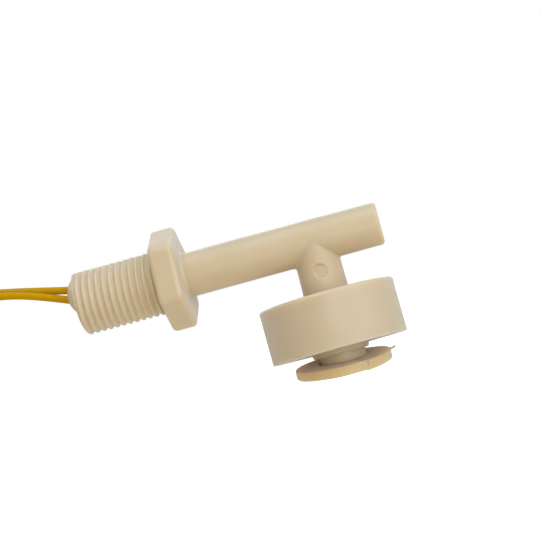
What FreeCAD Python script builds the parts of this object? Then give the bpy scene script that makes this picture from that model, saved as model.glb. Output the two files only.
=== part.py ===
import FreeCAD, Part
import math
import os
from FreeCAD import Vector

# Side-mounted float level switch. The threaded shank, hexagon, tube and stem are one nylon moulding.
# X runs along the shank's axis towards the tube's closed end, and Z is up.
# The origin is on that axis, in the face of the hexagon that seals against the vessel wall.
# All sizes are in millimetres and degrees.

# Threaded shank, M14 x 1.5
THREAD_DIAMETER = 14.0
THREAD_PITCH = 1.5
THREAD_LENGTH = 18.4
THREAD_DEPTH = 0.65
CREST_LAND = 0.36
ROOT_LAND = 0.34
LEAD_CHAMFER = 0.5
RUN_OUT = 0.83

# Hexagon
HEX_ACROSS_FLATS = 20.0
HEX_THICKNESS = 5.4
HEX_CLOCKING = 8.6
HEX_EDGE = 0.5

# Tube, with the draft of its mould
TUBE_ROOT_DIAMETER = 9.8
TUBE_TIP_DIAMETER = 9.35
TUBE_END = 49.0
TUBE_END_ROUND = 0.8

# Core bore for the reed switch, in two steps from the thread's end
ENTRY_BORE_DIAMETER = 8.4
ENTRY_BORE_DEPTH = 16.0
CORE_BORE_DIAMETER = 6.4
END_WALL = 1.8

# Stem that guides the float
STEM_OFFSET = 34.0
STEM_DIAMETER = 9.9
STEM_ROOT_DIAMETER = 9.54
STEM_DRAFT_LENGTH = 11.0
STEM_LENGTH = 29.5
STEM_END_ROUND = 0.3

# Snap groove, and the split ring whose thin tongue sits in it
GROOVE_DIAMETER = 8.0
GROOVE_HEIGHT = 1.3
GROOVE_TO_STEM_END = 2.3
GROOVE_DROP = STEM_LENGTH - GROOVE_TO_STEM_END
CLIP_DIAMETER = 21.2
CLIP_THICKNESS = 2.1
CLIP_TILT = 4.1
CLIP_ROLL = 1.4
CLIP_SHIFT = 0.3
CLIP_HOLE_CLEARANCE = 0.45
CLIP_EDGE = 0.35
TONGUE_THICKNESS = 0.4
TONGUE_CLEARANCE = 0.1
SLIT_WIDTH = 0.5
SLIT_ANGLE = 31.0
GATE_LENGTH = 1.15
GATE_THICKNESS = 0.6

# Float, welded from a shell and a cap
FLOAT_DIAMETER = 29.8
FLOAT_HEIGHT = 12.0
FLOAT_TO_CLIP = 2.3
FLOAT_TOP_DROP = GROOVE_DROP - CLIP_THICKNESS / 2 - FLOAT_TO_CLIP - FLOAT_HEIGHT
FLOAT_WALL = 1.3
FLOAT_TOP_ROUND = 0.8
FLOAT_TILT = -4.6
FLOAT_ROLL = -0.8
FLOAT_SHIFT = 0.27
FLOAT_BORE_CLEARANCE = 0.75
HUB_DIAMETER = 12.8
HUB_TIP_DIAMETER = 12.0
HUB_DROP = 1.05
FLOAT_SLEEVE_WALL = 1.1
CAP_THICKNESS = 1.3
CAP_REBATE = 0.45

# Ring magnet in its pocket under the float's top
MAGNET_HEIGHT = 4.0
MAGNET_WIDTH = 1.95
MAGNET_SIDE_PLAY = 0.25
MAGNET_END_PLAY = 0.15
POCKET_WALL = 0.8
POCKET_DEPTH = 3.0
COLUMN_WALL = 1.0

# Reed switch
REED_DIAMETER = 2.2
REED_LENGTH = 13.0
REED_START = 31.0
REED_DROP = 1.0
REED_GLASS_WALL = 0.3
REED_SEAL = 1.6
REED_LEAD_DIAMETER = 0.5
BLADE_WIDTH = 0.9
BLADE_THICKNESS = 0.22
BLADE_OVERLAP = 1.2
BLADE_GAP = 0.08
LEAD_TURN_RADIUS = 1.375
LEAD_BEFORE_TURN = 0.6

# Soldered joints and their sleeves
STRAND_DIAMETER = 0.8
STRAND_OVERLAP = 3.0
SOLDER_DIAMETER = 1.5
STRAND_GAP = 0.05
SLEEVE_WALL = 0.25
SLEEVE_LENGTH = 5.8
FRONT_LEAD_LENGTH = 4.6
REAR_JOINT_END = 40.0

# Insulated wires
WIRE_DIAMETER = 1.7
WIRE_ENTRY = 20.0

# Epoxy at the thread's end and round the reed switch
PLUG_DEPTH = 9.0
PLUG_DOME_DIAMETER = 8.8
PLUG_DOME_HEIGHT = 2.6
PLUG_DOME_RISE = 1.8
REED_POTTING_LENGTH = 17.4

# Put-away length of the two wires, tied in one round coil
COIL_CENTRE_X = -55.4
COIL_CENTRE_Z = -10.2
COIL_MEAN_RADIUS = 9.35
TURN_SPACING = 1.75
COIL_WIDTH = 9.0
UPPER_ENTRY_ANGLE = 150.0
LOWER_ENTRY_ANGLE = 140.0
COIL_EXIT_ANGLE = 180.0
TIE_ANGLE = 62.0
TIE_WIDTH = 2.5
TIE_THICKNESS = 0.8
TIE_HEAD = 3.2
TAIL_LENGTH = 11.0
TIN_LENGTH = 5.0
TIN_DIAMETER = 0.9

AXIS_X = Vector(1, 0, 0)
AXIS_Y = Vector(0, 1, 0)
AXIS_Z = Vector(0, 0, 1)

THREAD_RADIUS = THREAD_DIAMETER / 2
ROOT_RADIUS = THREAD_RADIUS - THREAD_DEPTH
STEM_RADIUS = STEM_DIAMETER / 2
GROOVE_RADIUS = GROOVE_DIAMETER / 2
CORE_RADIUS = CORE_BORE_DIAMETER / 2
CORE_END = TUBE_END - END_WALL
WIRE_RADIUS = WIRE_DIAMETER / 2
LEAD_RADIUS = REED_LEAD_DIAMETER / 2
SLEEVE_RADIUS = SOLDER_DIAMETER / 2 + SLEEVE_WALL
STRAND_DROP = LEAD_RADIUS + STRAND_DIAMETER / 2 + STRAND_GAP
SOLDER_DROP = (STRAND_DIAMETER + STRAND_GAP) / 2

CLIP_MIDDLE = -GROOVE_DROP

FLOAT_TOP = -FLOAT_TOP_DROP
FLOAT_BOTTOM = FLOAT_TOP - FLOAT_HEIGHT
HUB_BOTTOM = FLOAT_BOTTOM - HUB_DROP
FLOAT_RADIUS = FLOAT_DIAMETER / 2
FLOAT_BORE_RADIUS = STEM_RADIUS + FLOAT_BORE_CLEARANCE
SLEEVE_OUTSIDE = FLOAT_BORE_RADIUS + FLOAT_SLEEVE_WALL
MAGNET_INSIDE = SLEEVE_OUTSIDE + MAGNET_SIDE_PLAY
MAGNET_OUTSIDE = MAGNET_INSIDE + MAGNET_WIDTH
MAGNET_TOP = FLOAT_TOP - FLOAT_WALL - MAGNET_END_PLAY
MAGNET_BOTTOM = MAGNET_TOP - MAGNET_HEIGHT

REED_END = REED_START + REED_LENGTH
REED_HEIGHT = -REED_DROP
RETURN_HEIGHT = REED_HEIGHT + 2 * LEAD_TURN_RADIUS
FRONT_JOINT_START = REED_START - FRONT_LEAD_LENGTH
REAR_JOINT_START = REAR_JOINT_END - STRAND_OVERLAP

LEAD_UPPER = [
    (REAR_JOINT_START - 1.4, 0.0, RETURN_HEIGHT - STRAND_DROP),
    (-6.0, 0.0, RETURN_HEIGHT - STRAND_DROP),
    (-14.0, -0.15, 2.035),
    (-19.6, 0.2, 3.4),
]
LEAD_LOWER = [
    (FRONT_JOINT_START - 1.4, 0.0, REED_HEIGHT - STRAND_DROP),
    (4.0, 0.0, REED_HEIGHT - STRAND_DROP),
    (-7.0, 0.1, -1.75),
    (-14.5, 0.225, -1.05),
    (-20.3, -0.2, 1.35),
]
ROUTE_UPPER = [
    (-19.6, 0.2, 3.4),
    (-27.6, 0.7, 5.35),
    (-35.4, 0.95, 7.1),
    (-44.6, 0.7, 8.7),
    (-54.2, -0.4, 7.6),
    (-62.3, -1.4, 1.8),
]
ROUTE_LOWER = [
    (-20.3, -0.2, 1.35),
    (-27.8, -0.75, 4.45),
    (-35.4, -0.95, 6.45),
    (-44.2, -1.4, 7.2),
    (-53.0, -2.5, 6.4),
    (-60.4, -3.3, 2.5),
]


def cylinder_x(radius, start, end, y=0.0, z=0.0):
    return Part.makeCylinder(radius, end - start, Vector(start, y, z), AXIS_X)


def cylinder_z(radius, bottom, top, x=STEM_OFFSET):
    return Part.makeCylinder(radius, top - bottom, Vector(x, 0, bottom), AXIS_Z)


def ring_z(inside, outside, bottom, top):
    return cylinder_z(outside, bottom, top).cut(cylinder_z(inside, bottom, top))


def revolve_x(profile):
    """A solid turned about the X axis from points (x, radius)."""
    corners = [Vector(x, 0, r) for x, r in profile]
    face = Part.Face(Part.makePolygon(corners + corners[:1]))
    return face.revolve(Vector(0, 0, 0), AXIS_X, 360)


def round_edges(solid, radius, wanted):
    """Fillets the edges for which wanted(edge) is true."""
    edges = [edge for edge in solid.Edges if wanted(edge)]
    return solid.makeFillet(radius, edges)


def route_wire(points, name):
    """Straight runs joined by tangent arcs, each as large as its two runs allow."""
    corners = [Vector(*point) for point in points]
    edges = []
    radii = []
    start = corners[0]
    for before, corner, after in zip(corners, corners[1:], corners[2:]):
        incoming = (corner - before).normalize()
        outgoing = (after - corner).normalize()
        half_turn = incoming.getAngle(outgoing) / 2
        reach = 0.45 * min(corner.distanceToPoint(before), corner.distanceToPoint(after))
        radius = reach / math.tan(half_turn)
        radii.append(round(radius, 1))
        arc_start = corner - incoming * reach
        arc_end = corner + outgoing * reach
        bisector = (outgoing - incoming).normalize()
        depth = radius / math.cos(half_turn) - radius
        edges.append(Part.LineSegment(start, arc_start).toShape())
        edges.append(Part.Arc(arc_start, corner + bisector * depth, arc_end).toShape())
        start = arc_end
    edges.append(Part.LineSegment(start, corners[-1]).toShape())
    wire = Part.Wire(edges)
    print(name, "length", round(wire.Length, 2), "bend radii", radii)
    return wire


def tube_along(points, diameter, name):
    wire = route_wire(points, name)
    first = Vector(*points[0])
    direction = (Vector(*points[1]) - first).normalize()
    section = Part.Wire(Part.Circle(first, direction, diameter / 2).toShape())
    tube = wire.makePipeShell([section], True, False)
    expected = wire.Length * math.pi * diameter ** 2 / 4
    print(name, "volume", round(tube.Volume, 2), "expected", round(expected, 2))
    return tube


def make_thread():
    """The shank with rounded V grooves, a chamfered lead-in and a plain land at the hexagon."""
    flank = (THREAD_PITCH - CREST_LAND - ROOT_LAND) / 2
    turns = int((THREAD_LENGTH - LEAD_CHAMFER - RUN_OUT + CREST_LAND) / THREAD_PITCH)
    profile = [(-THREAD_LENGTH, 0), (-THREAD_LENGTH, THREAD_RADIUS - LEAD_CHAMFER)]
    x = CREST_LAND - RUN_OUT - turns * THREAD_PITCH
    profile.append((-THREAD_LENGTH + LEAD_CHAMFER, THREAD_RADIUS))
    for _ in range(turns):
        profile.append((x, THREAD_RADIUS))
        profile.append((x + flank, ROOT_RADIUS))
        profile.append((x + flank + ROOT_LAND, ROOT_RADIUS))
        profile.append((x + 2 * flank + ROOT_LAND, THREAD_RADIUS))
        x += THREAD_PITCH
    profile.append((0, THREAD_RADIUS))
    profile.append((0, 0))
    return revolve_x(profile)


def make_hexagon():
    corner_radius = HEX_ACROSS_FLATS / math.sqrt(3)
    corners = []
    for index in range(6):
        angle = math.radians(HEX_CLOCKING + 30 + 60 * index)
        corners.append(Vector(0, -corner_radius * math.cos(angle), corner_radius * math.sin(angle)))
    face = Part.Face(Part.makePolygon(corners + corners[:1]))
    hexagon = face.extrude(AXIS_X * HEX_THICKNESS)
    return hexagon.makeFillet(HEX_EDGE, hexagon.Edges)


def make_tube():
    length = TUBE_END - HEX_THICKNESS
    tube = Part.makeCone(
        TUBE_ROOT_DIAMETER / 2, TUBE_TIP_DIAMETER / 2, length, Vector(HEX_THICKNESS, 0, 0), AXIS_X
    )
    return round_edges(tube, TUBE_END_ROUND, lambda edge: edge.BoundBox.XMin > TUBE_END - 0.01)


def make_stem():
    """The stem up to a pointed arch on the tube, with its narrow groove near the end."""
    straight = cylinder_z(STEM_RADIUS, -STEM_LENGTH, -STEM_DRAFT_LENGTH)
    straight = round_edges(
        straight, STEM_END_ROUND, lambda edge: edge.BoundBox.ZMax < -STEM_LENGTH + 0.01
    )
    drafted = Part.makeCone(
        STEM_RADIUS, STEM_ROOT_DIAMETER / 2, STEM_DRAFT_LENGTH,
        Vector(STEM_OFFSET, 0, -STEM_DRAFT_LENGTH), AXIS_Z,
    )
    stem = straight.fuse(drafted)
    width = 2 * STEM_RADIUS
    roof = Part.makePolygon([
        Vector(STEM_OFFSET, -width, 0),
        Vector(STEM_OFFSET + width, -width, -width),
        Vector(STEM_OFFSET + width, -width, -2 * STEM_LENGTH),
        Vector(STEM_OFFSET - width, -width, -2 * STEM_LENGTH),
        Vector(STEM_OFFSET - width, -width, -width),
        Vector(STEM_OFFSET, -width, 0),
    ])
    stem = stem.common(Part.Face(roof).extrude(AXIS_Y * (2 * width)))
    half = GROOVE_HEIGHT / 2
    return stem.cut(ring_z(GROOVE_RADIUS, STEM_DIAMETER, -GROOVE_DROP - half, -GROOVE_DROP + half))


def make_bore():
    entry_end = -THREAD_LENGTH + ENTRY_BORE_DEPTH
    entry = cylinder_x(ENTRY_BORE_DIAMETER / 2, -THREAD_LENGTH, entry_end)
    return entry.fuse(cylinder_x(CORE_RADIUS, entry_end, CORE_END))


def make_body():
    body = make_thread().fuse([make_hexagon(), make_tube(), make_stem()])
    return body.removeSplitter().cut(make_bore())


def make_float_shell():
    shell = cylinder_z(FLOAT_RADIUS, FLOAT_BOTTOM, FLOAT_TOP)
    shell = round_edges(shell, FLOAT_TOP_ROUND, lambda edge: edge.BoundBox.ZMin > FLOAT_TOP - 0.01)
    inside = FLOAT_RADIUS - FLOAT_WALL
    cavity = ring_z(SLEEVE_OUTSIDE, inside, FLOAT_BOTTOM, FLOAT_TOP - FLOAT_WALL)
    rebate = ring_z(SLEEVE_OUTSIDE, inside + CAP_REBATE, FLOAT_BOTTOM, FLOAT_BOTTOM + CAP_THICKNESS)
    hub = Part.makeCone(
        HUB_TIP_DIAMETER / 2, HUB_DIAMETER / 2, HUB_DROP, Vector(STEM_OFFSET, 0, HUB_BOTTOM), AXIS_Z
    )
    shell = shell.cut(cavity).cut(rebate).fuse(hub)
    pocket_inside = MAGNET_OUTSIDE + MAGNET_SIDE_PLAY
    pocket_top = FLOAT_TOP - FLOAT_WALL
    pocket = ring_z(pocket_inside, pocket_inside + POCKET_WALL, pocket_top - POCKET_DEPTH, pocket_top)
    bore = cylinder_z(FLOAT_BORE_RADIUS, HUB_BOTTOM, FLOAT_TOP)
    return shell.fuse(pocket).cut(bore).removeSplitter()


def make_float_cap():
    """The cap seats on the shell's rebate, and its column keeps the magnet up in the pocket."""
    inside = SLEEVE_OUTSIDE
    outside = FLOAT_RADIUS - FLOAT_WALL + CAP_REBATE
    cap_top = FLOAT_BOTTOM + CAP_THICKNESS
    cap = ring_z(inside, outside, FLOAT_BOTTOM, cap_top)
    column_inside = MAGNET_INSIDE
    column = ring_z(column_inside, column_inside + COLUMN_WALL, cap_top, MAGNET_BOTTOM - MAGNET_END_PLAY)
    return cap.fuse(column).removeSplitter()


def set_askew(piece, height, tilt, roll, shift):
    """Turns a piece that is loose on the stem about X, then Y, and moves it sideways."""
    piece.rotate(Vector(STEM_OFFSET, 0, height), AXIS_X, tilt)
    piece.rotate(Vector(STEM_OFFSET, 0, height), AXIS_Y, roll)
    piece.translate(AXIS_X * -shift)
    return piece


def hang_with_float(piece):
    """The float is loose on its stem, and hangs askew and to one side."""
    return set_askew(piece, (FLOAT_TOP + FLOAT_BOTTOM) / 2, FLOAT_TILT, FLOAT_ROLL, FLOAT_SHIFT)


def make_float_magnet():
    return ring_z(MAGNET_INSIDE, MAGNET_OUTSIDE, MAGNET_BOTTOM, MAGNET_TOP)


def make_retaining_clip():
    """A ring split at the front right, with a thin tongue round its inside. It sits askew."""
    radius = CLIP_DIAMETER / 2
    bottom = CLIP_MIDDLE - CLIP_THICKNESS / 2
    top = bottom + CLIP_THICKNESS
    clip = cylinder_z(radius, bottom, top)
    clip = clip.makeFillet(CLIP_EDGE, [edge for edge in clip.Edges if edge.Closed])
    hole_radius = STEM_RADIUS + CLIP_HOLE_CLEARANCE
    clip = clip.cut(cylinder_z(hole_radius, bottom, top))
    tongue = ring_z(
        GROOVE_RADIUS + CLIP_SHIFT + TONGUE_CLEARANCE, hole_radius + 0.3,
        CLIP_MIDDLE - TONGUE_THICKNESS / 2, CLIP_MIDDLE + TONGUE_THICKNESS / 2,
    )
    slit = Part.makeBox(
        SLIT_WIDTH, 2 * radius, CLIP_THICKNESS,
        Vector(STEM_OFFSET - SLIT_WIDTH / 2, -2 * radius, bottom),
    )
    slit.rotate(Vector(STEM_OFFSET, 0, 0), AXIS_Z, SLIT_ANGLE)
    clip = clip.fuse([tongue, make_gate_vestige(radius, top)]).removeSplitter().cut(slit)
    return set_askew(clip, CLIP_MIDDLE, CLIP_TILT, CLIP_ROLL, CLIP_SHIFT)


def make_gate_vestige(radius, top):
    """The torn-off gate, a short stub on the clip's rim at its upper edge."""
    root = STEM_OFFSET + radius - 2 * CLIP_EDGE
    reach = STEM_OFFSET + radius + GATE_LENGTH
    low = top - CLIP_EDGE - GATE_THICKNESS / 2
    rise = 0.5 * GATE_LENGTH
    tip = [Vector(root, 0, low), Vector(reach, 0, low + rise),
           Vector(reach, 0, low + rise + GATE_THICKNESS * 0.8),
           Vector(root, 0, low + GATE_THICKNESS), Vector(root, 0, low)]
    stub = Part.Face(Part.makePolygon(tip)).extrude(AXIS_Y * GATE_THICKNESS)
    stub.translate(Vector(0, -GATE_THICKNESS / 2, 0))
    return stub


def make_reed_glass():
    radius = REED_DIAMETER / 2
    glass = cylinder_x(radius, REED_START, REED_END, z=REED_HEIGHT)
    glass = glass.makeFillet(radius * 0.6, [edge for edge in glass.Edges if edge.Closed])
    cavity = cylinder_x(
        radius - REED_GLASS_WALL, REED_START + REED_SEAL, REED_END - REED_SEAL, z=REED_HEIGHT
    )
    leads = cylinder_x(LEAD_RADIUS, REED_START - 1, REED_END + 1, z=REED_HEIGHT)
    return glass.cut(cavity).cut(leads)


def make_blade(tip, seal, height):
    """The flattened part of a reed blade, from inside its seal to its tip."""
    low = min(tip, seal)
    blade = Part.makeBox(
        abs(tip - seal), BLADE_WIDTH, BLADE_THICKNESS,
        Vector(low, -BLADE_WIDTH / 2, height - BLADE_THICKNESS / 2),
    )
    return blade


def make_reed_blade_front():
    middle = (REED_START + REED_END) / 2
    seal = REED_START + REED_SEAL
    lead = cylinder_x(LEAD_RADIUS, FRONT_JOINT_START, seal, z=REED_HEIGHT)
    height = REED_HEIGHT + (BLADE_GAP + BLADE_THICKNESS) / 2
    return lead.fuse(make_blade(middle + BLADE_OVERLAP / 2, seal, height))


def make_reed_blade_rear():
    middle = (REED_START + REED_END) / 2
    seal = REED_END - REED_SEAL
    turn = REED_END + LEAD_BEFORE_TURN
    corners = [
        Vector(seal, 0, REED_HEIGHT),
        Vector(turn, 0, REED_HEIGHT),
        Vector(turn + LEAD_TURN_RADIUS, 0, REED_HEIGHT + LEAD_TURN_RADIUS),
        Vector(turn, 0, RETURN_HEIGHT),
        Vector(REAR_JOINT_START, 0, RETURN_HEIGHT),
    ]
    path = Part.Wire([
        Part.LineSegment(corners[0], corners[1]).toShape(),
        Part.Arc(corners[1], corners[2], corners[3]).toShape(),
        Part.LineSegment(corners[3], corners[4]).toShape(),
    ])
    section = Part.Wire(Part.Circle(corners[0], AXIS_X, LEAD_RADIUS).toShape())
    lead = path.makePipeShell([section], True, False)
    height = REED_HEIGHT - (BLADE_GAP + BLADE_THICKNESS) / 2
    return lead.fuse(make_blade(middle - BLADE_OVERLAP / 2, seal, height))


def make_conductor(joint_start, height):
    """The stripped strands, laid under the reed's lead inside the solder."""
    end = joint_start + STRAND_OVERLAP
    return cylinder_x(STRAND_DIAMETER / 2, joint_start - 1.4, end, z=height - STRAND_DROP)


def make_solder_joint(joint_start, height, blade, conductor):
    middle = height - SOLDER_DROP
    solder = cylinder_x(SOLDER_DIAMETER / 2, joint_start, joint_start + STRAND_OVERLAP, z=middle)
    return solder.cut(blade).cut(conductor)


def make_joint_sleeve(joint_start, height):
    start = joint_start - 1.4
    end = start + SLEEVE_LENGTH
    middle = height - SOLDER_DROP
    sleeve = cylinder_x(SLEEVE_RADIUS, start, end, z=middle)
    return sleeve.cut(cylinder_x(SLEEVE_RADIUS - SLEEVE_WALL, start, end, z=middle))


def make_potting_plug(wires):
    """Epoxy in the entry bore, with a dome that the wires come out of."""
    start = -THREAD_LENGTH
    plug = cylinder_x(ENTRY_BORE_DIAMETER / 2, start, start + PLUG_DEPTH)
    base = PLUG_DOME_DIAMETER / 2
    sphere_radius = (base ** 2 + PLUG_DOME_HEIGHT ** 2) / (2 * PLUG_DOME_HEIGHT)
    centre = Vector(start - PLUG_DOME_HEIGHT + sphere_radius, 0, PLUG_DOME_RISE)
    sphere = Part.makeSphere(sphere_radius, centre)
    dome = sphere.common(cylinder_x(THREAD_DIAMETER, start - THREAD_DIAMETER, start))
    return plug.fuse(dome).removeSplitter().cut(wires)


def make_reed_potting(inner_pieces):
    fill = cylinder_x(CORE_RADIUS, CORE_END - REED_POTTING_LENGTH, CORE_END)
    solids = fill.cut(inner_pieces).Solids
    return max(solids, key=lambda solid: solid.Volume)


def coil_point(angle, radius):
    turn = math.radians(angle)
    return (COIL_CENTRE_X + radius * math.cos(turn), COIL_CENTRE_Z + radius * math.sin(turn))


def make_coil_ring():
    """The turns of both wires as one closed ring."""
    inside = COIL_MEAN_RADIUS - TURN_SPACING
    outside = COIL_MEAN_RADIUS + TURN_SPACING
    low = Vector(COIL_CENTRE_X, -COIL_WIDTH / 2, COIL_CENTRE_Z)
    ring = Part.makeCylinder(outside, COIL_WIDTH, low, AXIS_Y)
    ring = ring.cut(Part.makeCylinder(inside, COIL_WIDTH, low, AXIS_Y))
    return ring.makeFillet(WIRE_RADIUS * 0.9, [edge for edge in ring.Edges if edge.Closed])


def make_free_wire(route, angle, side, name):
    """A wire from the epoxy to where it meets the coil's turns from outside."""
    x, z = coil_point(angle, COIL_MEAN_RADIUS + TURN_SPACING + WIRE_RADIUS + 0.02)
    return tube_along(route + [(x, side, z)], WIRE_DIAMETER, name)


def make_tail(radius, length):
    """The wire's last straight length, from its last turn down to its stripped end."""
    x, z = coil_point(COIL_EXIT_ANGLE, radius)
    side = COIL_WIDTH / 2 - TURN_SPACING / 2
    return Part.makeCylinder(WIRE_RADIUS, length, Vector(x, side, z), -AXIS_Z)


def make_tinned_end(radius, length):
    x, z = coil_point(COIL_EXIT_ANGLE, radius)
    side = COIL_WIDTH / 2 - TURN_SPACING / 2
    return Part.makeCylinder(TIN_DIAMETER / 2, TIN_LENGTH, Vector(x, side, z - length), -AXIS_Z)


def make_wire_tie(ring):
    """A cable tie round the coil's section, with its head on the outside."""
    inside = COIL_MEAN_RADIUS - TURN_SPACING
    outside = COIL_MEAN_RADIUS + TURN_SPACING
    depth = outside - inside + 2 * TIE_THICKNESS
    width = COIL_WIDTH + 2 * TIE_THICKNESS
    band = Part.makeBox(depth, width, TIE_WIDTH, Vector(inside - TIE_THICKNESS, -width / 2, -TIE_WIDTH / 2))
    lying = [edge for edge in band.Edges if abs(edge.tangentAt(edge.FirstParameter).z) > 0.99]
    band = band.makeFillet(TIE_THICKNESS * 1.5, lying)
    head = Part.makeBox(
        TIE_HEAD / 2, TIE_HEAD, TIE_HEAD, Vector(outside + TIE_THICKNESS / 2, -TIE_HEAD / 2, -TIE_HEAD / 2)
    )
    tie = band.fuse(head).removeSplitter()
    tie.rotate(Vector(0, 0, 0), AXIS_Y, -TIE_ANGLE)
    tie.translate(Vector(COIL_CENTRE_X, 0, COIL_CENTRE_Z))
    return tie.cut(ring)


def build_pieces():
    pieces = {
        "body": make_body(),
        "float_shell": hang_with_float(make_float_shell()),
        "float_cap": hang_with_float(make_float_cap()),
        "float_magnet": hang_with_float(make_float_magnet()),
        "retaining_clip": make_retaining_clip(),
        "reed_glass": make_reed_glass(),
        "reed_blade_front": make_reed_blade_front(),
        "reed_blade_rear": make_reed_blade_rear(),
    }
    joints = {"front": (FRONT_JOINT_START, REED_HEIGHT), "rear": (REAR_JOINT_START, RETURN_HEIGHT)}
    for end, (start, height) in joints.items():
        conductor = make_conductor(start, height)
        pieces["conductor_" + end] = conductor
        blade = pieces["reed_blade_" + end]
        pieces["solder_joint_" + end] = make_solder_joint(start, height, blade, conductor)
        pieces["joint_sleeve_" + end] = make_joint_sleeve(start, height)
    pieces["inner_lead_upper"] = tube_along(LEAD_UPPER, WIRE_DIAMETER, "inner lead upper")
    pieces["inner_lead_lower"] = tube_along(LEAD_LOWER, WIRE_DIAMETER, "inner lead lower")
    leads = [pieces["inner_lead_upper"], pieces["inner_lead_lower"]]
    sealed = ("reed_", "solder_", "joint_", "conductor_")
    inner = leads + [shape for name, shape in pieces.items() if name.startswith(sealed)]
    pieces["reed_potting"] = make_reed_potting(inner)
    ring = make_coil_ring()
    outer_layer = COIL_MEAN_RADIUS + TURN_SPACING / 2
    inner_layer = COIL_MEAN_RADIUS - TURN_SPACING / 2
    near_side = -COIL_WIDTH / 2 + TURN_SPACING / 2
    pieces["wire_upper"] = make_free_wire(
        ROUTE_UPPER, UPPER_ENTRY_ANGLE, near_side + TURN_SPACING, "wire upper"
    )
    pieces["wire_lower"] = make_free_wire(ROUTE_LOWER, LOWER_ENTRY_ANGLE, near_side, "wire lower")
    pieces["potting_plug"] = make_potting_plug(leads + [pieces["wire_upper"], pieces["wire_lower"]])
    tails = [make_tail(outer_layer, TAIL_LENGTH), make_tail(inner_layer, TAIL_LENGTH)]
    pieces["wire_coil"] = ring.fuse(tails).removeSplitter()
    pieces["wire_tie"] = make_wire_tie(ring)
    pieces["tinned_end_upper"] = make_tinned_end(outer_layer, TAIL_LENGTH)
    pieces["tinned_end_lower"] = make_tinned_end(inner_layer, TAIL_LENGTH)
    return pieces


def main():
    os.makedirs("parts", exist_ok=True)
    for name, shape in build_pieces().items():
        print(name, shape.ShapeType, len(shape.Solids), "valid", shape.isValid(), round(shape.Volume, 2))
        shape.exportStep("parts/" + name + ".step")


main()
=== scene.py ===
import math

import bpy
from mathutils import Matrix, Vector
from mathutils.geometry import delaunay_2d_cdt

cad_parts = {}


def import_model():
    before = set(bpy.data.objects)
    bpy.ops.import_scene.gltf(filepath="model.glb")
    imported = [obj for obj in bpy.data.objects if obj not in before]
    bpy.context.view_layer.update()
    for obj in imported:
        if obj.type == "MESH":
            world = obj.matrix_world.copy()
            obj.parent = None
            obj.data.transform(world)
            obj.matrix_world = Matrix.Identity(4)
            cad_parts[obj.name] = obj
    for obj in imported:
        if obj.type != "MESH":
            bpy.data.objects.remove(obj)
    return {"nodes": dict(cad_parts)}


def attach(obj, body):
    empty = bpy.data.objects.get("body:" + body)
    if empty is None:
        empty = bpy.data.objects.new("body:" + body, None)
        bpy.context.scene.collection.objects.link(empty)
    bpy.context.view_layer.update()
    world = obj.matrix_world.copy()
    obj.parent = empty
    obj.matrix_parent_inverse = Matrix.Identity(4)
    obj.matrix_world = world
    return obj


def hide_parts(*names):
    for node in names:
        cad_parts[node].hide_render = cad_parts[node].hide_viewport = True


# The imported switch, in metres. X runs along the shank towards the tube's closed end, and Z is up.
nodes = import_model()["nodes"]
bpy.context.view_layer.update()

# The body: threaded shank, hexagon, tube and stem in one moulding of natural nylon, left unpainted.
# Light goes a little way into it, so it looks warmer where it is in shade. The mould leaves a fine
# satin skin, faint flow marks and a few dark specks.
NYLON_COLOUR = (0.63, 0.49, 0.305)
NYLON_FLOW_COLOUR = (0.6, 0.45, 0.255)
NYLON_SPECK_SHARE = 0.07
SPECK_COLOUR = (0.16, 0.11, 0.07)
SPECK_SPACING = 1 / 260
FLOW_SPACING = 1 / 90
SKIN_SPACING = 1 / 2600
LIGHT_REACH = 0.0028
LIGHT_REACH_BY_COLOUR = (1.0, 0.8, 0.55)
SHEEN_COLOUR = (0.84, 0.9, 1.0)


def add_node(tree, kind, inputs=None, **settings):
    """A node with its settings and inputs; an input is a value or another node's output."""
    node = tree.nodes.new(kind)
    for key, value in settings.items():
        setattr(node, key, value)
    for key, value in (inputs or {}).items():
        if isinstance(value, bpy.types.NodeSocket):
            tree.links.new(value, node.inputs[key])
        else:
            node.inputs[key].default_value = value
    return node


def calculate(tree, operation, *values):
    inputs = dict(enumerate(values))
    return add_node(tree, "ShaderNodeMath", operation=operation, inputs=inputs).outputs[0]


def rescale(tree, value, low, high, to_low=0.0, to_high=1.0, kind="LINEAR"):
    """The value moved from one range to another, and kept inside the new one."""
    inputs = {
        "Value": value, "From Min": low, "From Max": high, "To Min": to_low, "To Max": to_high,
    }
    return add_node(
        tree, "ShaderNodeMapRange", interpolation_type=kind, inputs=inputs
    ).outputs["Result"]


def mix_colours(tree, share, colour, other):
    inputs = {"Factor": share, "A": colour, "B": other}
    return add_node(tree, "ShaderNodeMix", data_type="RGBA", inputs=inputs).outputs["Result"]


def own_place(tree):
    """The place on the piece itself, so that a pattern moves with it."""
    return add_node(tree, "ShaderNodeTexCoord").outputs["Object"]


def own_noise(tree, spacing, detail=2.0, roughness=0.5):
    inputs = {
        "Vector": own_place(tree), "Scale": 1 / spacing, "Detail": detail, "Roughness": roughness,
    }
    return add_node(tree, "ShaderNodeTexNoise", inputs=inputs).outputs["Fac"]


def relief(tree, height, strength, depth, **under):
    """The normal of a fine relief, on top of another normal where that is given."""
    inputs = {"Strength": strength, "Distance": depth, "Height": height, **under}
    return add_node(tree, "ShaderNodeBump", inputs=inputs).outputs["Normal"]


def new_material(name, colour, **shader_values):
    material = bpy.data.materials.new(name)
    material.use_nodes = True
    material.diffuse_color = (*colour, 1)
    shader = material.node_tree.nodes["Principled BSDF"]
    shader.inputs["Base Color"].default_value = (*colour, 1)
    for key, value in shader_values.items():
        shader.inputs[key.replace("_", " ")].default_value = value
    return material, material.node_tree, shader


def dress(piece, material):
    piece.data.materials.clear()
    piece.data.materials.append(material)


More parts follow.
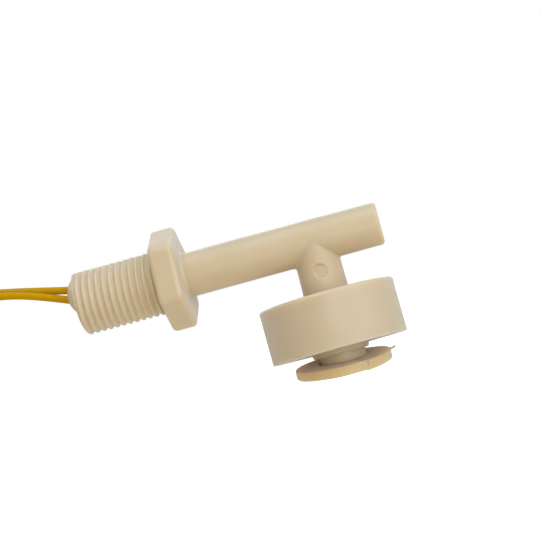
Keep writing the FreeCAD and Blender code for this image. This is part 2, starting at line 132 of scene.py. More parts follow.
def moulded_plastic(name, colour, flow_colour, speck_share=0.0, let_in=0.6, reach=LIGHT_REACH):
    """Unpainted plastic: drifts of tone, specks, a satin skin, and light going a little way in."""
    material, tree, shader = new_material(
        name, colour, Roughness=0.42, IOR=1.5, Subsurface_Weight=let_in, Subsurface_Scale=reach,
        Subsurface_Radius=LIGHT_REACH_BY_COLOUR, Sheen_Weight=0.3, Sheen_Roughness=0.45,
        Sheen_Tint=(*SHEEN_COLOUR, 1),
    )
    drift = own_noise(tree, FLOW_SPACING, detail=3.0, roughness=0.55)
    flow = rescale(tree, drift, 0.35, 0.75, 0.0, 0.7)
    tone = mix_colours(tree, flow, (*colour, 1), (*flow_colour, 1))
    cells = add_node(
        tree, "ShaderNodeTexVoronoi", inputs={"Vector": own_place(tree), "Scale": 1 / SPECK_SPACING}
    ).outputs
    near = rescale(tree, cells["Distance"], 0.05, 0.02)
    lot = add_node(tree, "ShaderNodeSeparateColor", inputs={"Color": cells["Color"]}).outputs["Red"]
    speck = calculate(tree, "MULTIPLY", near, calculate(tree, "LESS_THAN", lot, speck_share))
    spotted = mix_colours(tree, speck, tone, (*SPECK_COLOUR, 1))
    tree.links.new(spotted, shader.inputs["Base Color"])
    skin = relief(tree, own_noise(tree, SKIN_SPACING), 0.12, 0.00005)
    wavy = relief(tree, drift, 0.25, 0.0003, Normal=skin)
    tree.links.new(wavy, shader.inputs["Normal"])
    gloss = rescale(tree, drift, 0.3, 0.7, 0.36, 0.5)
    tree.links.new(gloss, shader.inputs["Roughness"])
    return material


nylon = moulded_plastic("natural_nylon", NYLON_COLOUR, NYLON_FLOW_COLOUR, NYLON_SPECK_SHARE)
fillet_nylon = moulded_plastic(
    "natural_nylon_fillet", NYLON_COLOUR, NYLON_FLOW_COLOUR, let_in=0.0
)

# The shank's thread, M14 x 1.5, which the body's solid has as closed grooves. Here it is one true
# helix from the chamfered end up to the hexagon, with moulded, rounded crests, and it is worn flat
# along the line where the two halves of the mould met on top.
THREAD_RADIUS = 0.007
THREAD_PITCH = 0.0015
THREAD_LENGTH = 0.0184
THREAD_DEPTH = 0.00043
THREAD_CHAMFER = 0.00015
FIRST_CREST = -0.00215
CREST_EDGE = 0.9
GROOVE_EDGE = 0.12
MOULD_LINE_EDGES = (0.95, 0.995)
MOULD_LINE_DEPTH_SHARE = 0.35
CHAMFER_ROUNDING = 0.0001
RUN_OUT_SLOPE = 3.0
THREAD_RINGS = 241
THREAD_SPOKES = 145
TOUCH = 0.000001


def thread_tree():
    """A grid rolled round the X axis, its radius following a helical groove."""
    tree = bpy.data.node_groups.new("moulded_thread", "GeometryNodeTree")
    face = tree.interface
    face.new_socket("Geometry", in_out="OUTPUT", socket_type="NodeSocketGeometry")
    sizes = {
        "Radius": THREAD_RADIUS, "Pitch": THREAD_PITCH, "Length": THREAD_LENGTH,
        "Depth": THREAD_DEPTH, "Chamfer": THREAD_CHAMFER, "First Crest": FIRST_CREST,
    }
    for name, value in sizes.items():
        socket = face.new_socket(name, in_out="INPUT", socket_type="NodeSocketFloat")
        socket.default_value = value
    face.new_socket("Material", in_out="INPUT", socket_type="NodeSocketMaterial")
    given = add_node(tree, "NodeGroupInput").outputs

    def work(operation, *values):
        return calculate(tree, operation, *values)

    grid = add_node(tree, "GeometryNodeMeshGrid", inputs={
        "Size X": 1.0, "Size Y": 1.0, "Vertices X": THREAD_RINGS, "Vertices Y": THREAD_SPOKES,
    })
    position = add_node(tree, "GeometryNodeInputPosition").outputs[0]
    here = add_node(tree, "ShaderNodeSeparateXYZ", inputs={0: position}).outputs
    along = work("MULTIPLY", work("SUBTRACT", here["X"], 0.5), given["Length"])
    turn = work("ADD", here["Y"], 0.5)
    angle = work("MULTIPLY", turn, 2 * math.pi)
    advance = work("DIVIDE", work("SUBTRACT", along, given["First Crest"]), given["Pitch"])
    phase = work("FRACT", work("SUBTRACT", advance, turn))
    ridge = work("ABSOLUTE", work("MULTIPLY_ADD", phase, 2.0, -1.0))
    groove = rescale(tree, ridge, CREST_EDGE, GROOVE_EDGE, kind="SMOOTHSTEP")
    upward = work("SINE", work("ADD", angle, math.pi / 2))
    mould_line = rescale(
        tree, upward, *MOULD_LINE_EDGES, 1.0, MOULD_LINE_DEPTH_SHARE, kind="SMOOTHSTEP"
    )
    deep = work("MULTIPLY", work("MULTIPLY", groove, mould_line), given["Depth"])
    radius = work("SUBTRACT", given["Radius"], deep)
    from_end = work("ADD", along, given["Length"])
    lead_in = work("ADD", work("SUBTRACT", given["Radius"], given["Chamfer"]), from_end)
    radius = work("SMOOTH_MIN", radius, lead_in, CHAMFER_ROUNDING)
    run_out = work("MULTIPLY_ADD", along, RUN_OUT_SLOPE, given["Radius"])
    radius = work("MAXIMUM", radius, run_out)
    spot = add_node(tree, "ShaderNodeCombineXYZ", inputs={
        "X": along,
        "Y": work("MULTIPLY", radius, work("SINE", angle)),
        "Z": work("MULTIPLY", radius, work("COSINE", angle)),
    }).outputs[0]
    rolled = add_node(
        tree, "GeometryNodeSetPosition", inputs={"Geometry": grid.outputs["Mesh"], "Position": spot}
    ).outputs[0]
    closed = add_node(
        tree, "GeometryNodeMergeByDistance", inputs={"Geometry": rolled, "Distance": TOUCH}
    ).outputs[0]
    real = add_node(tree, "GeometryNodeRealizeInstances", inputs={"Geometry": closed}).outputs[0]
    coated = add_node(
        tree, "GeometryNodeSetMaterial", inputs={"Geometry": real, "Material": given["Material"]}
    ).outputs[0]
    add_node(tree, "NodeGroupOutput", inputs={"Geometry": coated})
    return tree


def add_piece(name, data):
    piece = bpy.data.objects.new(name, data)
    bpy.context.scene.collection.objects.link(piece)
    return piece


def grow(name, tree, values):
    """A plain mesh from a Geometry Nodes tree, with its named inputs set."""
    seed = add_piece(name, bpy.data.meshes.new(name + "_seed"))
    modifier = seed.modifiers.new("nodes", "NODES")
    modifier.node_group = tree
    for item in tree.interface.items_tree:
        if item.in_out == "INPUT" and item.name in values:
            modifier[item.identifier] = values[item.name]
    bpy.context.view_layer.update()
    graph = bpy.context.evaluated_depsgraph_get()
    made = bpy.data.meshes.new_from_object(seed.evaluated_get(graph))
    seed.modifiers.clear()
    seed.data = made
    made.name = name
    return seed


thread = grow("thread", thread_tree(), {"Material": nylon})

# The stem stands on the tube like a tee, a cone that widens downwards. An ejector pin of the mould
# has left a flat, round mark on its front, and the corners beside it are a little rounded.
STEM_OFFSET = 0.034
STEM_ROOT_RADIUS = 0.00477
STEM_DRAFT = 0.00018 / 0.011
STEM_DRAFT_END = -0.011
TUBE_RADIUS = 0.0049
TUBE_DRAFT = 0.000225 / 0.0436
TUBE_START = 0.0054
FRONT_FROM = -0.0022
FRONT_HALF_WIDTH = 0.0045
FRONT_POINT_SPACING = 0.0004
FRONT_ROWS = 28
FRONT_COLUMNS_EACH_SIDE = 18
FRONT_POINTS_CLEAR_OF_MARK = 0.0002
MARK_OFFSET = 0.0343
MARK_HEIGHT = -0.0066
MARK_RADIUS = 0.00158
MARK_DEPTH = 0.00039
MARK_SLOPE = 0.00028
MARK_CORNERS = 64
MARK_INSIDE_SHARE = 0.985
LEFT_FILLET = 0.00065
RIGHT_FILLET = 0.0004
FILLET_STEPS = 72
FILLET_ARCS = 8
FILLET_FIRST_GUESS = 0.005
FILLET_DEPTH_SHARE = 1.45
FILLET_SUNK = 0.0001
CONE_TOLERANCE = 0.00003
PLACE_TOLERANCE = 0.00001
MILLIMETRES = 1000


def stem_radius(height):
    return STEM_ROOT_RADIUS - STEM_DRAFT * height


def tube_radius(along):
    return TUBE_RADIUS - TUBE_DRAFT * (along - TUBE_START)


def corners_of(solid, polygon):
    return [solid.vertices[index].co for index in polygon.vertices]


def from_axis(spot):
    return math.hypot(spot.y, spot.z)


def is_stem_front(solid, polygon):
    centre = polygon.center
    if centre.y > FRONT_FROM or abs(centre.x - STEM_OFFSET) > FRONT_HALF_WIDTH:
        return False
    on_cone = all(
        abs(math.hypot(corner.x - STEM_OFFSET, corner.y) - stem_radius(corner.z)) < CONE_TOLERANCE
        and STEM_DRAFT_END - PLACE_TOLERANCE < corner.z < PLACE_TOLERANCE
        for corner in corners_of(solid, polygon)
    )
    return on_cone and from_axis(centre) > tube_radius(centre.x) + PLACE_TOLERANCE


def on_stem(across, height):
    """The place and normal on the stem's cone, from a place on the cone rolled out flat."""
    angle = across / STEM_ROOT_RADIUS
    radius = stem_radius(height)
    place = (STEM_OFFSET + radius * math.sin(angle), -radius * math.cos(angle), height)
    normal = Vector((math.sin(angle), -math.cos(angle), STEM_DRAFT)).normalized()
    return place, tuple(normal)


def across_stem(x, y):
    return STEM_ROOT_RADIUS * math.atan2(x - STEM_OFFSET, -y)


def marked_front(edge):
    """Faces for the stem's front inside the given edge, with the ejector mark sunk in it.

    The triangles are found on the cone rolled out flat, in millimetres.
    """
    edge_flat = [(across_stem(x, y), z) for x, y, z in edge]
    rim_flat = []
    for step in range(MARK_CORNERS):
        angle = 2 * math.pi * step / MARK_CORNERS
        x = MARK_OFFSET + MARK_RADIUS * math.cos(angle)
        z = MARK_HEIGHT + MARK_RADIUS * math.sin(angle)
        rim_flat.append((STEM_ROOT_RADIUS * math.asin((x - STEM_OFFSET) / stem_radius(z)), z))
    middle = (across_stem(MARK_OFFSET, -stem_radius(MARK_HEIGHT)), MARK_HEIGHT)
    inside = []
    for row in range(FRONT_ROWS):
        for column in range(-FRONT_COLUMNS_EACH_SIDE, FRONT_COLUMNS_EACH_SIDE + 1):
            z = STEM_DRAFT_END + FRONT_POINT_SPACING * (row + 0.5)
            spot = (FRONT_POINT_SPACING * column, z)
            if math.dist(spot, middle) > MARK_RADIUS + FRONT_POINTS_CLEAR_OF_MARK:
                inside.append(spot)
    rim_from, rim_to = len(edge), len(edge) + MARK_CORNERS
    given = [Vector(spot) * MILLIMETRES for spot in edge_flat + rim_flat + inside]
    circle = [
        (rim_from + step, rim_from + (step + 1) % MARK_CORNERS) for step in range(MARK_CORNERS)
    ]
    made = delaunay_2d_cdt(given, circle, [list(range(rim_from))], 1, TOUCH)
    spots, triangles, sources = made[0], made[2], made[3]
    places, normals = [], []
    for spot, source in zip(spots, sources):
        place, normal = on_stem(spot.x / MILLIMETRES, spot.y / MILLIMETRES)
        on_edge = [index for index in source if index < rim_from]
        places.append(tuple(edge[on_edge[0]]) if on_edge else place)
        normals.append(normal)
    rim = {
        source[0] - rim_from: places[at]
        for at, source in enumerate(sources) if source and rim_from <= source[0] < rim_to
    }
    shapes, shades = [], []
    for triangle in triangles:
        centre = sum((spots[index] for index in triangle), Vector((0, 0))) / (3 * MILLIMETRES)
        if math.dist(centre, middle) >= MARK_RADIUS * MARK_INSIDE_SHARE:
            shapes.append([places[index] for index in triangle])
            shades.append([normals[index] for index in triangle])
    floor_at = -(stem_radius(MARK_HEIGHT) - MARK_DEPTH)
    heart = (MARK_OFFSET, floor_at, MARK_HEIGHT)
    inner = 1 - MARK_SLOPE / MARK_RADIUS
    for step in range(MARK_CORNERS):
        upper, next_upper = rim[step], rim[(step + 1) % MARK_CORNERS]
        lower, next_lower = [
            (heart[0] + (x - heart[0]) * inner, floor_at, heart[2] + (z - heart[2]) * inner)
            for x, _, z in (upper, next_upper)
        ]
        down, onward = Vector(lower) - Vector(upper), Vector(next_upper) - Vector(upper)
        sloping = down.cross(onward).normalized()
        if sloping.y > 0:
            sloping.negate()
        shapes.append([upper, next_upper, next_lower, lower])
        shades.append([tuple(sloping)] * 4)
        shapes.append([lower, next_lower, heart])
        shades.append([(0.0, -1.0, 0.0)] * 3)
    return shapes, shades


def tee_fillet(side, radius):
    """The corner of tube and stem on one side, rounded by a rolled ball, as a closed wedge.

    The ball's centre is found by turns from the stem and from the tube, from a first guess.
    """
    rows = []
    for step in range(-FILLET_STEPS + 1, FILLET_STEPS):
        z = -FILLET_FIRST_GUESS
        x = STEM_OFFSET + side * FILLET_FIRST_GUESS
        limit = min(tube_radius(x), stem_radius(z)) + radius
        y = limit * math.sin(math.pi / 2 * step / FILLET_STEPS)
        for _ in range(3):
            x = STEM_OFFSET + side * math.sqrt(max(0.0, (stem_radius(z) + radius) ** 2 - y * y))
            z = -math.sqrt(max(0.0, (tube_radius(x) + radius) ** 2 - y * y))
        centre = Vector((x, y, z))
        from_tube = Vector((0, y, z)).normalized()
        from_stem = Vector((x - STEM_OFFSET, y, 0)).normalized()
        row = []
        for arc in range(FILLET_ARCS + 1):
            share = arc / FILLET_ARCS
            normal = (from_tube * (1 - share) + from_stem * share).normalized()
            row.append((tuple(centre - normal * radius), tuple(normal)))
        inward = (from_tube + from_stem).normalized()
        depth = FILLET_DEPTH_SHARE * radius + FILLET_SUNK
        row.append((tuple(centre - inward * depth), tuple(-inward)))
        rows.append(row)
    shapes, shades = [], []
    for row, after in zip(rows, rows[1:]):
        for index in range(len(row)):
            follow = (index + 1) % len(row)
            corners = [row[index], row[follow], after[follow], after[index]]
            if side < 0:
                corners.reverse()
            shapes.append([spot for spot, _ in corners])
            seen = index < FILLET_ARCS
            shades.append([normal if seen else row[-1][1] for _, normal in corners])
    for row, turned in ((rows[0], side > 0), (rows[-1], side < 0)):
        cap = list(reversed(row)) if turned else row
        shapes.append([spot for spot, _ in cap])
        shades.append([normal for _, normal in cap])
    return shapes, shades


# The hexagon, 20 mm across its flats and moulded with the rest of the body, for a spanner to turn.
# Its corners and edges are soft, as a mould leaves them, and so is the corner between its face and
# the tube. Its other face seals against the vessel's wall.
HEX_APOTHEM = 0.01
HEX_HEIGHT = 0.0054
HEX_CORNER_RADIUS = 0.0021
HEX_EDGE_RADIUS = 0.001
HEX_CLOCKING = math.radians(-21.4)
HEX_HOLE_ROUND_SHANK = 0.00695
HEX_HOLE_ROUND_TUBE = 0.00485
HEX_FLAT_STEPS = 12
HEX_ARC_STEPS = 8
ROOT_FILLET = 0.0007
ROOT_SPOKES = 96
ROOT_ARCS = 6


def is_hexagon(solid, polygon):
    corners = corners_of(solid, polygon)
    between = all(-TOUCH < corner.x < HEX_HEIGHT + TOUCH for corner in corners)
    return between and from_axis(polygon.center) > TUBE_RADIUS + TOUCH


def skin_rings(rings):
    """Faces from each ring of places and normals to the next one."""
    shapes, shades = [], []
    for ring, after in zip(rings, rings[1:]):
        for index in range(len(ring)):
            follow = (index + 1) % len(ring)
            corners = [ring[index], after[index], after[follow], ring[follow]]
            shapes.append([spot for spot, _ in corners])
            shades.append([normal for _, normal in corners])
    return shapes, shades


def soft_hexagon():
    """Rings of one rounded outline from the sealing face over both edges to the tube."""
    outline = []
    core = (HEX_APOTHEM - HEX_CORNER_RADIUS) / math.cos(math.pi / 6)
    for side in range(6):
        flat_angle = HEX_CLOCKING + side * math.pi / 3
        before, after = [
            Vector((0, core * math.sin(flat_angle + turn), core * math.cos(flat_angle + turn)))
            for turn in (-math.pi / 6, math.pi / 6)
        ]
        normal = Vector((0, math.sin(flat_angle), math.cos(flat_angle)))
        for step in range(1, HEX_FLAT_STEPS):
            outline.append((before.lerp(after, step / HEX_FLAT_STEPS), normal))
        for step in range(HEX_ARC_STEPS + 1):
            angle = flat_angle + math.pi / 3 * step / HEX_ARC_STEPS
            outline.append((after, Vector((0, math.sin(angle), math.cos(angle)))))
    edge = []
    for step in range(HEX_ARC_STEPS + 1):
        angle = math.pi / 2 * step / HEX_ARC_STEPS
        inset = HEX_EDGE_RADIUS * (1 - math.sin(angle))
        along = HEX_EDGE_RADIUS * (1 - math.cos(angle))
        edge.append((inset, along, -math.cos(angle), math.sin(angle)))
    far_edge = [(inset, HEX_HEIGHT - along, -lean, rise) for inset, along, lean, rise in edge]
    rings = []
    for inset, along, lean, rise in edge + far_edge[::-1]:
        ring = []
        for corner, outward in outline:
            spot = corner + outward * (HEX_CORNER_RADIUS - inset)
            spot.x = along
            ring.append((tuple(spot), tuple(outward * rise + Vector((lean, 0, 0)))))
        rings.append(ring)
    holes = []
    for ring, radius, lean in (
        (rings[0], HEX_HOLE_ROUND_SHANK, -1.0), (rings[-1], HEX_HOLE_ROUND_TUBE, 1.0)
    ):
        hole = []
        for (x, y, z), _ in ring:
            inward = Vector((0, y, z)).normalized() * radius
            hole.append(((x, inward.y, inward.z), (lean, 0.0, 0.0)))
        holes.append(hole)
    return skin_rings([holes[0], *rings, holes[1]])


def root_fillet():
    """The rounded corner between the hexagon's face and the tube."""
    rings = []
    for arc in range(ROOT_ARCS + 1):
        angle = math.pi / 2 * arc / ROOT_ARCS
        along = HEX_HEIGHT + ROOT_FILLET * (1 - math.cos(angle))
        radius = TUBE_RADIUS + ROOT_FILLET * (1 - math.sin(angle))
        ring = []
        for spoke in range(ROOT_SPOKES):
            around = 2 * math.pi * spoke / ROOT_SPOKES
            y, z = math.sin(around), math.cos(around)
            normal = (math.cos(angle), math.sin(angle) * y, math.sin(angle) * z)
            ring.append(((along, radius * y, radius * z), normal))
        rings.append(ring)
    return skin_rings(rings)


# The whole moulding in one mesh: the solid's own faces with their shading, but for the shank's
# rings, the hexagon and the stem's front, which have the finer shapes above instead. A ring closes
# the shank's end round the epoxy.
BORE_LIMIT = 0.005
END_RING_RADIUS = 0.0064


def is_thread(solid, polygon):
    on_end = all(corner.x < -THREAD_LENGTH + TOUCH for corner in corners_of(solid, polygon))
    centre = polygon.center
    return centre.x < -TOUCH and from_axis(centre) > BORE_LIMIT and not on_end


def rounded(place, digits):
    return tuple(round(value, digits) for value in place)


def shading(mesh, polygon):
    return [tuple(mesh.corner_normals[index].vector) for index in polygon.loop_indices]


solid = nodes["body"].data
shapes, shades = [], []
front_edges = {}
for polygon in solid.polygons:
    if is_thread(solid, polygon) or is_hexagon(solid, polygon):
        continue
    corners = [rounded(corner, 7) for corner in corners_of(solid, polygon)]
    if is_stem_front(solid, polygon):
        for start, end in zip(corners, corners[1:] + corners[:1]):
            if (end, start) in front_edges:
                del front_edges[(end, start)]
            else:
                front_edges[(start, end)] = True
    else:
        shapes.append(corners)
        shades.append(shading(solid, polygon))
following = dict(front_edges.keys())
front_edge = [next(iter(following))]
while following[front_edge[-1]] != front_edge[0]:
    front_edge.append(following[front_edge[-1]])
for made in (soft_hexagon(), marked_front(front_edge)):
    shapes += made[0]
    shades += made[1]
fillets_from = len(shapes)
for made in (root_fillet(), tee_fillet(-1, LEFT_FILLET), tee_fillet(1, RIGHT_FILLET)):
    shapes += made[0]
    shades += made[1]
fillets_to = len(shapes)

outer = thread.data
outer.shade_smooth()
middle = outer.polygons[len(outer.polygons) // 2]
inside_out = middle.normal.dot(Vector((0, middle.center.y, middle.center.z))) < 0
for polygon in outer.polygons:
    shape = [tuple(corner) for corner in corners_of(outer, polygon)]
    shade = shading(outer, polygon)
    if inside_out:
        shape.reverse()
        shade = [tuple(-value for value in normal) for normal in reversed(shade)]
    shapes.append(shape)
    shades.append(shade)
end_ring = [
    spot for _, spot in sorted(
        (math.atan2(vertex.co.z, vertex.co.y), tuple(vertex.co))
        for vertex in outer.vertices if vertex.co.x < -THREAD_LENGTH + TOUCH
    )
]
for spot, next_spot in zip(end_ring, end_ring[1:] + end_ring[:1]):
    inner, next_inner = [
        (x, *(Vector((y, z)).normalized() * END_RING_RADIUS)) for x, y, z in (spot, next_spot)
    ]
    shapes.append([spot, inner, next_inner, next_spot])
    shades.append([(-1.0, 0.0, 0.0)] * 4)

welded, faces, corner_normals, coats = {}, [], [], []
for at, (corners, normals) in enumerate(zip(shapes, shades)):
    face = [welded.setdefault(rounded(corner, 8), len(welded)) for corner in corners]
    if len(set(face)) == len(face):
        faces.append(face)
        corner_normals += normals
        coats.append(1 if fillets_from <= at < fillets_to else 0)


def shaded_mesh(name, points, faces, corner_normals):
    mesh = bpy.data.meshes.new(name)
    mesh.from_pydata(points, [], faces)
    mesh.shade_smooth()
    mesh.normals_split_custom_set(corner_normals)
    return mesh


moulding = add_piece("moulding", shaded_mesh("moulding", list(welded), faces, corner_normals))
bpy.data.objects.remove(thread)
dress(moulding, nylon)
moulding.data.materials.append(fillet_nylon)
moulding.data.polygons.foreach_set("material_index", coats)
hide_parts("body")
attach(moulding, "base")

# The reed switch in the tube's closed end: a glass capsule with two flat plated blades sealed in
# it, and their leads, one bent back along the glass.
glass, _, _ = new_material(
    "reed_glass", (0.75, 0.9, 0.78), Roughness=0.03, IOR=1.5, Transmission_Weight=1.0
)
dress(nodes["reed_glass"], glass)
plated, tree, shader = new_material(
    "plated_blade", (0.72, 0.7, 0.66), Metallic=1.0, Roughness=0.25
)
polish = rescale(tree, own_noise(tree, 1 / 1800), 0.0, 1.0, 0.15, 0.4)
tree.links.new(polish, shader.inputs["Roughness"])
for name in ("reed_blade_front", "reed_blade_rear"):
    dress(nodes[name], plated)


# The two joints between the reed's leads and the wires' strands of bright copper. They are
# soldered, and each is under a black sleeve.
def give_grain(tree, shader, spacing, strength, depth, detail=2.0):
    """Fine uneven relief all over the piece."""
    bumps = relief(tree, own_noise(tree, spacing, detail), strength, depth)
    tree.links.new(bumps, shader.inputs["Normal"])


solder, tree, shader = new_material("tin_solder", (0.78, 0.78, 0.79), Metallic=1.0, Roughness=0.3)
give_grain(tree, shader, 1 / 900, 0.4, 0.0001, detail=3.0)
copper, tree, shader = new_material(
    "copper_strands", (0.8, 0.44, 0.28), Metallic=1.0, Roughness=0.3
)
lay = add_node(
    tree, "ShaderNodeTexWave", wave_type="BANDS",
    inputs={"Vector": own_place(tree), "Scale": 900.0, "Distortion": 1.0},
)
strands = relief(tree, lay.outputs["Fac"], 0.6, 0.0001)
tree.links.new(strands, shader.inputs["Normal"])
sleeve, tree, shader = new_material("black_sleeve", (0.02, 0.02, 0.02), Roughness=0.5)
give_grain(tree, shader, 1 / 1500, 0.2, 0.00005)
for end in ("front", "rear"):
    dress(nodes["solder_joint_" + end], solder)
    dress(nodes["conductor_" + end], copper)
    dress(nodes["joint_sleeve_" + end], sleeve)

# The epoxy, poured in from the threaded end once the switch is in: round the reed in the closed
# end, and as a plug in the open end with a low dome round the wires.
EPOXY_COLOUR = (0.74, 0.61, 0.4)
EPOXY_CLOUD_COLOUR = (0.66, 0.51, 0.3)
epoxy, tree, shader = new_material(
    "cast_epoxy", EPOXY_COLOUR, Roughness=0.3, Subsurface_Weight=0.4, Subsurface_Scale=0.0015,
    Subsurface_Radius=(1.0, 0.6, 0.3),
)
clouds = own_noise(tree, 1 / 300, detail=4.0)
milky = mix_colours(tree, clouds, (*EPOXY_COLOUR, 1), (*EPOXY_CLOUD_COLOUR, 1))
tree.links.new(milky, shader.inputs["Base Color"])
for name in ("potting_plug", "reed_potting"):
    dress(nodes[name], epoxy)

# The float: a shell with its own bore and a cap welded into its underside, of the same plastic, a
# little whiter than the body, and the black ring magnet shut in under its top.
FLOAT_COLOUR = (0.62, 0.475, 0.305)
FLOAT_FLOW_COLOUR = (0.59, 0.44, 0.265)
float_plastic = moulded_plastic(
    "float_plastic", FLOAT_COLOUR, FLOAT_FLOW_COLOUR, let_in=0.75, reach=0.0036
)
for name in ("float_shell", "float_cap"):
    dress(nodes[name], float_plastic)
ferrite, tree, shader = new_material(
    "sintered_ferrite", (0.05, 0.05, 0.055), Metallic=0.3, Roughness=0.6
)
give_grain(tree, shader, 1 / 2200, 0.5, 0.0001, detail=4.0)
dress(nodes["float_magnet"], ferrite)

# The retaining clip, a split ring sprung into the stem's groove after the float is on. It is
# moulded of nylon too. Its colour is painted shade, a little yellower and darker than the body's,
# for where it sits in the float's shadow. Springing it on has set its right-hand end back behind
# the other one and closed its slit a little.
# Painted shade: the clip's colours are the body's nylon made yellower and darker for the float's
# shadow.
CLIP_SHADED_COLOUR = (0.6, 0.43, 0.22)
CLIP_SHADED_FLOW_COLOUR = (0.56, 0.385, 0.17)
CLIP_SLIT_ANGLE = math.radians(31)
CLIP_SET_BACK = 0.0005
CLIP_SET_DOWN = 0.00025
CLIP_BENT_ARC = math.radians(75)
CLIP_CLOSED_BY = math.radians(2.1)
CLIP_CLOSING_ARC = math.radians(30)
CLIP_TONGUE_RADIUS = 0.0055
CLIP_BEND_FADE = 0.0012
clip_solid = nodes["retaining_clip"].data
clip_at, clip_faces, clip_shades, bent_points = {}, [], [], []
for polygon in clip_solid.polygons:
    corners = [rounded(corner, 7) for corner in corners_of(clip_solid, polygon)]
    clip_faces.append([clip_at.setdefault(corner, len(clip_at)) for corner in corners])
    clip_shades += shading(clip_solid, polygon)
for x, y, z in clip_at:
    angle = math.atan2(x - STEM_OFFSET, -y)
    past = angle - CLIP_SLIT_ANGLE
    radius = math.hypot(x - STEM_OFFSET, y)
    outside = min(1.0, max(0.0, (radius - CLIP_TONGUE_RADIUS) / CLIP_BEND_FADE))
    if past <= 0:
        outside = 0.0
    bent = outside * max(0.0, 1 - past / CLIP_BENT_ARC)
    angle -= CLIP_CLOSED_BY * outside * max(0.0, 1 - past / CLIP_CLOSING_ARC)
    radius -= CLIP_SET_BACK * bent
    x, y = STEM_OFFSET + radius * math.sin(angle), -radius * math.cos(angle)
    bent_points.append((x, y, z - CLIP_SET_DOWN * bent))
split_clip = add_piece(
    "split_clip", shaded_mesh("split_clip", bent_points, clip_faces, clip_shades)
)
# The clip's material carries the painted shade of its colours, and lets light further in than the
# body's.
clip_nylon_painted_shade = moulded_plastic(
    "clip_nylon_painted_shade", CLIP_SHADED_COLOUR, CLIP_SHADED_FLOW_COLOUR, let_in=0.9, reach=0.0055
)
dress(split_clip, clip_nylon_painted_shade)
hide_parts("retaining_clip")
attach(split_clip, "base")

# The two wires: yellow insulation on a stranded core, as far as the epoxy and on to the joints
# inside. Both leave to the side and a little upwards. What the photo does not show of them is
# wound into one small coil, the lower wire's turns inside the upper one's.
INSULATION_COLOUR = (0.5, 0.24, 0.0)
INSULATION_LIGHT_COLOUR = (0.57, 0.3, 0.0)
WIRE_DIAMETER = 0.0017
TAIL_LENGTH = 0.011
TAIL_MIDDLE_SHARE = 0.45
COIL_CENTRE = (-0.0554, -0.0102)
COIL_RADIUS = 0.00935
COIL_SPACING = 0.00175
COIL_ENTRY_RADIUS = COIL_RADIUS + 1.5 * COIL_SPACING
COIL_ENTRY_STEPS = 3
COIL_STEPS_IN_A_TURN = 16
UPPER_ROUTE = [
    (-0.0196, 0.0002, 0.0034),
    (-0.0276, 0.0007, 0.00535),
    (-0.0354, 0.00095, 0.0071),
    (-0.0446, 0.0007, 0.0087),
    (-0.0542, -0.0004, 0.0076),
    (-0.0623, -0.0014, 0.0018),
]
LOWER_ROUTE = [
    (-0.0203, -0.0002, 0.00135),
    (-0.0278, -0.00075, 0.00445),
    (-0.0354, -0.00095, 0.00645),
    (-0.0442, -0.0014, 0.0072),
    (-0.053, -0.0025, 0.0064),
    (-0.0604, -0.0033, 0.0025),
]


def wind(entry_angle, start_side, radius, turns):
    """The coil's points, from where the wire meets it to the end of its straight tail."""
    points = []
    steps = round(turns * COIL_STEPS_IN_A_TURN)
    for step in range(steps + 1):
        share = step / steps
        angle = math.radians(entry_angle + 360 * turns * share)
        settled = min(1.0, step / COIL_ENTRY_STEPS)
        reach = radius + (1 - settled) * (COIL_ENTRY_RADIUS - radius)
        points.append((
            COIL_CENTRE[0] + reach * math.cos(angle),
            start_side + COIL_SPACING * turns * share,
            COIL_CENTRE[1] + reach * math.sin(angle),
        ))
    x, y, z = points[-1]
    points.append((x, y, z - TAIL_MIDDLE_SHARE * TAIL_LENGTH))
    points.append((x, y, z - TAIL_LENGTH))
    return points


def lay_wire(name, points):
    curve = bpy.data.curves.new(name, "CURVE")
    curve.dimensions = "3D"
    curve.bevel_depth = WIRE_DIAMETER / 2
    curve.bevel_resolution = 5
    curve.resolution_u = 8
    curve.use_fill_caps = True
    spline = curve.splines.new("NURBS")
    spline.points.add(len(points) - 1)
    for point, place in zip(spline.points, points):
        point.co = (*place, 1)
    spline.order_u = 3
    spline.use_endpoint_u = True
    return add_piece(name, curve)


insulation, tree, shader = new_material(
    "yellow_insulation", INSULATION_COLOUR, Roughness=0.5, Specular_IOR_Level=0.3,
    Specular_Tint=(1.0, 0.75, 0.1, 1),
)
drag = own_noise(tree, 1 / 700, detail=3.0)
tint = mix_colours(tree, drag, (*INSULATION_LIGHT_COLOUR, 1), (*INSULATION_COLOUR, 1))
tree.links.new(tint, shader.inputs["Base Color"])
tree.links.new(relief(tree, drag, 0.15, 0.0001), shader.inputs["Normal"])
for name in ("inner_lead_upper", "inner_lead_lower"):
    dress(nodes[name], insulation)
upper_coil = wind(entry_angle=150, start_side=-0.00185, radius=0.010225, turns=3 + 30 / 360)
lower_coil = wind(entry_angle=140, start_side=-0.0036, radius=0.008475, turns=4 + 40 / 360)
upper_wire = lay_wire("upper_wire", UPPER_ROUTE + upper_coil)
lower_wire = lay_wire("lower_wire", LOWER_ROUTE + lower_coil)
for wire in (upper_wire, lower_wire):
    dress(wire, insulation)
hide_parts("wire_upper", "wire_coil")
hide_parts("wire_lower")
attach(upper_wire, "base")
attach(lower_wire, "base")

# The tie that holds the turns together, a natural nylon cable tie, and the wires' ends, which are
# stripped of their insulation and tinned.
tie_plastic, tree, shader = new_material(
    "tie_nylon", (0.8, 0.79, 0.74), Roughness=0.4, Subsurface_Weight=0.3, Subsurface_Scale=0.001
)
give_grain(tree, shader, 1 / 1500, 0.15, 0.00005)
dress(nodes["wire_tie"], tie_plastic)
for name in ("tinned_end_upper", "tinned_end_lower"):
    dress(nodes[name], solder)

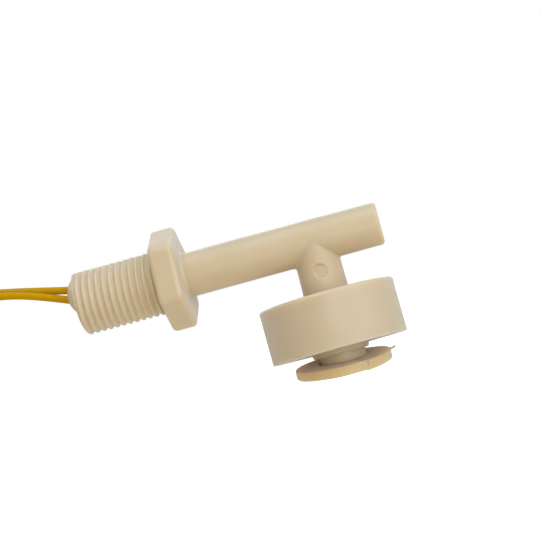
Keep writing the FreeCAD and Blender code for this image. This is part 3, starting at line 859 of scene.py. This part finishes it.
# The room: a plain pale floor well below the switch, which hangs from its thread, and a white
# background. Five soft panels light it, cool from above and the sides, and faintly warm from low
# in front, as the paper under the switch would.
FLOOR_HEIGHT = -0.085
FLOOR_HALF_WIDTH = 3
SWITCH_MIDDLE = (0.01, 0, -0.01)
FLOAT_MIDDLE = (0.03, 0, -0.015)
floor_mesh = bpy.data.meshes.new("floor")
floor_corners = [
    (FLOOR_HALF_WIDTH * x, FLOOR_HALF_WIDTH * y, FLOOR_HEIGHT)
    for x, y in ((-1, -1), (1, -1), (1, 1), (-1, 1))
]
floor_mesh.from_pydata(floor_corners, [], [(0, 1, 2, 3)])
floor = add_piece("floor", floor_mesh)
paper, tree, shader = new_material("pale_floor", (0.9, 0.84, 0.72), Roughness=0.9)
path = add_node(tree, "ShaderNodeLightPath").outputs
lit = add_node(tree, "ShaderNodeEmission", inputs={"Color": (1, 1, 1, 1), "Strength": 1.0})
both = add_node(tree, "ShaderNodeAddShader", inputs={0: shader.outputs[0], 1: lit.outputs[0]})
seen = add_node(
    tree, "ShaderNodeMixShader",
    inputs={"Fac": path["Is Camera Ray"], 1: shader.outputs[0], 2: both.outputs[0]},
)
tree.links.new(seen.outputs[0], tree.nodes["Material Output"].inputs["Surface"])
dress(floor, paper)

world = bpy.data.worlds.new("studio")
world.use_nodes = True
bpy.context.scene.world = world
tree = world.node_tree
tree.nodes.clear()
path = add_node(tree, "ShaderNodeLightPath").outputs
shown = calculate(tree, "MAXIMUM", path["Is Camera Ray"], path["Is Glossy Ray"])
shown = calculate(tree, "MAXIMUM", shown, path["Is Transmission Ray"])
soft = add_node(
    tree, "ShaderNodeBackground", inputs={"Color": (0.95, 0.95, 0.97, 1), "Strength": 0.4}
)
white = add_node(tree, "ShaderNodeBackground", inputs={"Color": (1, 1, 1, 1), "Strength": 1.0})
chosen = add_node(
    tree, "ShaderNodeMixShader", inputs={"Fac": shown, 1: soft.outputs[0], 2: white.outputs[0]}
)
add_node(tree, "ShaderNodeOutputWorld", inputs={"Surface": chosen.outputs[0]})


def soft_lamp(name, place, aim, size, watts, colour):
    light = bpy.data.lights.new(name, "AREA")
    light.shape = "DISK"
    light.size = size
    light.energy = watts
    light.color = colour
    lamp = add_piece(name, light)
    lamp.location = place
    lamp.rotation_euler = (Vector(aim) - Vector(place)).to_track_quat("-Z", "Y").to_euler()


soft_lamp("sky_panel", (0.02, -0.12, 0.4), SWITCH_MIDDLE, 0.35, 0.92, (0.72, 0.85, 1.0))
soft_lamp("right_panel", (0.4, -0.25, 0.15), SWITCH_MIDDLE, 0.3, 0.78, (0.68, 0.82, 1.0))
soft_lamp("front_panel", (0.16, -0.4, -0.02), FLOAT_MIDDLE, 0.2, 0.44, (0.82, 0.88, 1.0))
soft_lamp("low_panel", (0.04, -0.33, -0.068), FLOAT_MIDDLE, 0.12, 0.12, (1.0, 0.9, 0.7))
soft_lamp("back_panel", (-0.02, 0.45, 0.16), (0, 0, -0.01), 0.3, 0.5, (0.8, 0.88, 1.0))

# The camera, level with the switch as the photo was taken, and turned so that the tube rises to
# the right.
scene = bpy.context.scene
scene.view_settings.view_transform = "Standard"
lens = bpy.data.cameras.new("camera")
lens.sensor_width = 36
lens.lens = 86.667
camera = add_piece("camera", lens)
camera.location = (0.049557, -0.279652, -0.006196)
camera.rotation_euler = (math.radians(90.549), math.radians(15.138), math.radians(5.461))
scene.camera = camera

bpy.context.view_layer.update()
